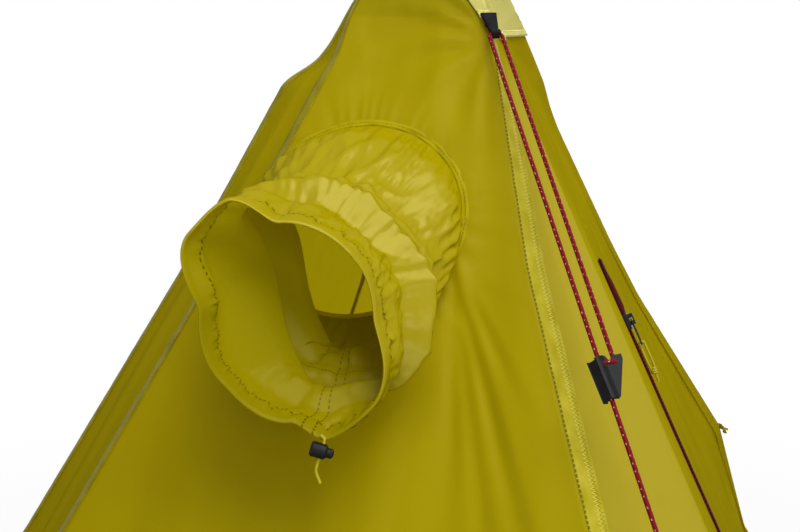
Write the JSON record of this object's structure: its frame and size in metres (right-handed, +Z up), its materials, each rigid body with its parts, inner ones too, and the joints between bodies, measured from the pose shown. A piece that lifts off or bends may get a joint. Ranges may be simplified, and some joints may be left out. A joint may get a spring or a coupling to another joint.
{
  "type": "backpacking tent",
  "caption": "Single-wall pyramid tent on one centre pole, with a gathered snorkel vent, a zipped swinging door, a guy line with its tensioner, and stakes in hem loops.",
  "frame": {"origin": "on the ground under the peak, at the middle of the centre pole's foot", "axes": "+Z up along the pole, -Y towards the end wall with the snorkel vent, +X towards the wall with the door"},
  "size_m": [1.743, 2.4638, 1.39],
  "materials": {
    "canopy_cloth": "coated plain nylon, slightly glossy, olive yellow",
    "hood_cloth": "the same nylon, doubled and lit through, pale yellow",
    "floor_cloth": "heavier coated nylon, dark grey",
    "black_webbing": "woven flat webbing, matt",
    "black_plastic": "moulded, satin",
    "red_zip_tape": "woven tape with coil teeth, dark red",
    "red_guy_cord": "braided cord, red with pale reflective flecks",
    "yellow_cord": "braided cord, yellow",
    "aluminium": "drawn tube, satin",
    "steel": "plated, darkened",
    "rubber": "moulded, matt"
  },
  "bodies": {
    "canopy": {"back_wall": "canopy_cloth", "bathtub_floor": "floor_cloth", "door_hood": "hood_cloth", "drawcord_tail": "yellow_cord", "front_wall": "canopy_cloth", "guy_line": "red_guy_cord", "hem_loop_front_left": "black_webbing", "hem_loop_front_right": "black_webbing", "hem_loop_rear_left": "black_webbing", "hem_loop_rear_right": "black_webbing", "hem_loop_shoulder_left": "black_webbing", "hem_loop_shoulder_right": "black_webbing", "hood_guy_tab": "black_webbing", "left_shoulder_wall": "canopy_cloth", "left_side_wall": "canopy_cloth", "peak_cap": "canopy_cloth", "peak_cup": "black_webbing", "pole_clamp": "black_plastic", "pole_lever_pin": "steel", "pole_top_cap": "black_plastic", "pole_upper_tube": "aluminium", "right_door_frame": "canopy_cloth", "right_shoulder_wall": "canopy_cloth", "snorkel_tube": "canopy_cloth", "tie_out_left_rear": "black_webbing", "tie_out_right_rear": "black_webbing", "zip_tape_frame": "red_zip_tape"},
    "door": {"door_panel": "canopy_cloth", "zip_tape_door": "red_zip_tape"},
    "slider": {"zip_slider": "steel"},
    "zip_pull": {"zip_pull_wire": "steel", "zip_pull_cord": "yellow_cord"},
    "cord_lock": {"cord_lock_body": "black_plastic", "cord_lock_spring": "steel"},
    "cord_lock_button": {"cord_lock_button": "black_plastic"},
    "pole_lower": {"pole_lower_tube": "aluminium", "pole_foot": "rubber"},
    "pole_lever": {"pole_lever": "black_plastic"},
    "tensioner": {"line_tensioner": "black_plastic"},
    "guy_stake": {"guy_stake": "aluminium"},
    "hem_stake_front_right": {"hem_stake_front_right": "aluminium"},
    "hem_stake_shoulder_right": {"hem_stake_shoulder_right": "aluminium"},
    "hem_stake_rear_right": {"hem_stake_rear_right": "aluminium"},
    "hem_stake_rear_left": {"hem_stake_rear_left": "aluminium"},
    "hem_stake_shoulder_left": {"hem_stake_shoulder_left": "aluminium"},
    "hem_stake_front_left": {"hem_stake_front_left": "aluminium"}
  },
  "joints": [
    {"name": "door_swing", "type": "hinge", "parent": "canopy", "child": "door", "pos_m": [0.1027, 0.1572, 1.138], "axis": [-0.3186, -0.4877, 0.8128], "range_deg": [0, 115]},
    {"name": "zip_slide", "type": "slide", "parent": "door", "child": "slider", "axis": [0.4548, -0.18, -0.8722], "range_m": [0, 1.208]},
    {"name": "zip_pull_swing", "type": "hinge", "parent": "slider", "child": "zip_pull", "pos_m": [0.17228, -0.06576, 1.08013], "axis": [0.0464, -0.9732, 0.2251], "range_deg": [0, 150]},
    {"name": "cord_lock_slide", "type": "slide", "parent": "canopy", "child": "cord_lock", "axis": [-0.1965, -0.3673, -0.9091], "range_m": [0, 0.006]},
    {"name": "cord_lock_press", "type": "slide", "parent": "cord_lock", "child": "cord_lock_button", "axis": [-0.9243, -0.2399, 0.2967], "range_m": [0, 0.002], "stiffness_N_per_m": 800, "springref_m": -0.001, "deforming": ["cord_lock_spring"]},
    {"name": "pole_telescope", "type": "slide", "parent": "canopy", "child": "pole_lower", "axis": [0, 0, 1], "range_m": [0, 0.25]},
    {"name": "pole_lever_swing", "type": "hinge", "parent": "canopy", "child": "pole_lever", "pos_m": [0, -0.027, 0.634], "axis": [-1, 0, 0], "range_deg": [0, 110]},
    {"name": "tensioner_slide", "type": "slide", "parent": "canopy", "child": "tensioner", "axis": [0.3795, -0.6374, -0.6706], "range_m": [0, 0.15]},
    {"name": "guy_stake_pull", "type": "slide", "parent": "canopy", "child": "guy_stake", "axis": [0.8592, 0.5116, 0], "range_m": [0, 0.1]},
    {"name": "hem_stake_front_right_pull", "type": "slide", "parent": "canopy", "child": "hem_stake_front_right", "axis": [0.872, 0.4895, 0], "range_m": [0, 0.1]},
    {"name": "hem_stake_shoulder_right_pull", "type": "slide", "parent": "canopy", "child": "hem_stake_shoulder_right", "axis": [0.6913, 0.7226, 0], "range_m": [0, 0.1]},
    {"name": "hem_stake_rear_right_pull", "type": "slide", "parent": "canopy", "child": "hem_stake_rear_right", "axis": [-0.8706, 0.492, 0], "range_m": [0, 0.1]},
    {"name": "hem_stake_rear_left_pull", "type": "slide", "parent": "canopy", "child": "hem_stake_rear_left", "axis": [-0.8706, -0.492, 0], "range_m": [0, 0.1]},
    {"name": "hem_stake_shoulder_left_pull", "type": "slide", "parent": "canopy", "child": "hem_stake_shoulder_left", "axis": [0.6948, -0.7192, 0], "range_m": [0, 0.1]},
    {"name": "hem_stake_front_left_pull", "type": "slide", "parent": "canopy", "child": "hem_stake_front_left", "axis": [0.872, -0.4895, 0], "range_m": [0, 0.1]}
  ]
}
